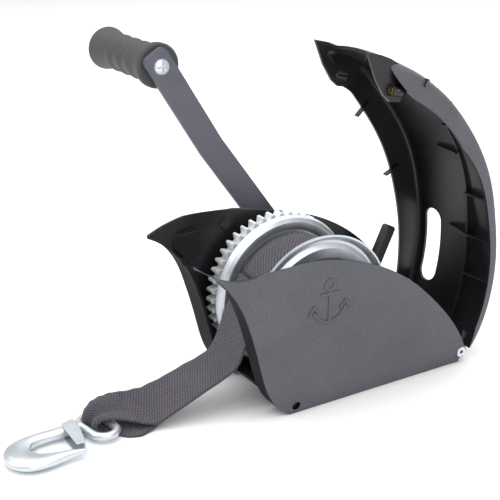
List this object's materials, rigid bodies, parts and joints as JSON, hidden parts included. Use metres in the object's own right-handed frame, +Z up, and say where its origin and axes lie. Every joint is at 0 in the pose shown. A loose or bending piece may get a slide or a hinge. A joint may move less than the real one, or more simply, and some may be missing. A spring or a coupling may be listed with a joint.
{
  "type": "boat trailer winch",
  "caption": "Hand-cranked geared strap winch for a boat trailer, with plastic side covers, hinged upper cover, ratchet lever, webbing strap and latched hook.",
  "frame": {"origin": "centre of the four mounting holes on the underside of the steel base", "axes": "+X along the reel's axis towards the plain side away from the crank, +Y to the rear where the upper cover is hinged, -Y to the strap's exit, +Z up"},
  "size_m": [0.3192, 0.5202, 0.3343],
  "materials": {
    "zinc": "bright zinc plate",
    "bronze": "turned",
    "spring_steel": "drawn wire",
    "arm_steel": "satin dull zinc",
    "cover_plastic": "fine stipple, moulded",
    "grip_plastic": "matte, soft edge",
    "webbing": "woven polyester"
  },
  "bodies": {
    "frame": {"base_frame": "zinc", "reel_shaft_bolt": "zinc", "reel_shaft_nut": "zinc", "pinion_bushes": "bronze", "pawl_pivot_bolt": "zinc", "pawl_spacer": "zinc", "pawl_spring": "spring_steel", "hinge_rivets": "zinc", "cover_screws": "zinc", "right_cover": "cover_plastic", "left_cover": "cover_plastic", "strap_tail": "webbing"},
    "reel": {"left_flange": "zinc", "right_flange": "zinc", "reel_gear": "zinc", "reel_core": "zinc", "gear_spacer": "zinc", "reel_bushes": "bronze", "gear_rivets": "zinc", "strap_anchor_bolt": "zinc", "strap_roll": "webbing"},
    "crank": {"pinion_gear": "zinc", "pinion_shaft": "zinc", "ratchet_wheel": "zinc", "crank_arm": "arm_steel", "crank_washer": "zinc", "crank_nut": "zinc", "grip_screw": "zinc", "grip_washer": "zinc", "grip_nut": "zinc"},
    "grip": {"hand_grip": "grip_plastic", "grip_sleeve": "grip_plastic"},
    "lever": {"ratchet_lever": "zinc", "lever_sleeve": "grip_plastic"},
    "lid": {"upper_cover": "cover_plastic", "cover_inserts": "bronze"},
    "hook": {"hook": "zinc", "latch_rivet": "zinc"},
    "latch": {"hook_latch": "zinc"}
  },
  "joints": [
    {"name": "reel_spin", "type": "hinge", "parent": "frame", "child": "reel", "pos_m": [0, -0.055, 0.086], "axis": [1, 0, 0], "continuous": true},
    {"name": "crank_spin", "type": "hinge", "parent": "frame", "child": "crank", "pos_m": [0, 0.02744, 0.03705], "axis": [1, 0, 0], "continuous": true},
    {"name": "grip_spin", "type": "hinge", "parent": "crank", "child": "grip", "pos_m": [-0.19, -0.13934, 0.30604], "axis": [1, 0, 0], "continuous": true},
    {"name": "cover_hinge", "type": "hinge", "parent": "frame", "child": "lid", "pos_m": [0, 0.106, 0.0135], "axis": [1, 0, 0], "range_deg": [-34, 46]},
    {"name": "lever_swing", "type": "hinge", "parent": "frame", "child": "lever", "pos_m": [-0.0387, 0.054, 0.0647], "axis": [1, 0, 0], "range_deg": [-25, 0], "stiffness_Nm_per_rad": 0.35, "springref_deg": 20.05},
    {"name": "hook_swing", "type": "hinge", "parent": "frame", "child": "hook", "pos_m": [-0.01069, -0.26382, 0.0067], "axis": [0.9724, 0.2334, 0], "range_deg": [-80, 0]},
    {"name": "latch_swing", "type": "hinge", "parent": "hook", "child": "latch", "pos_m": [-0.01646, -0.2976, 0.0067], "axis": [0, 0, 1], "range_deg": [-35, 0], "stiffness_Nm_per_rad": 0.05, "springref_deg": 17.19}
  ],
  "couplings": [
    {"joint": "crank_spin", "follows": "reel_spin", "ratio": -3.9167}
  ]
}
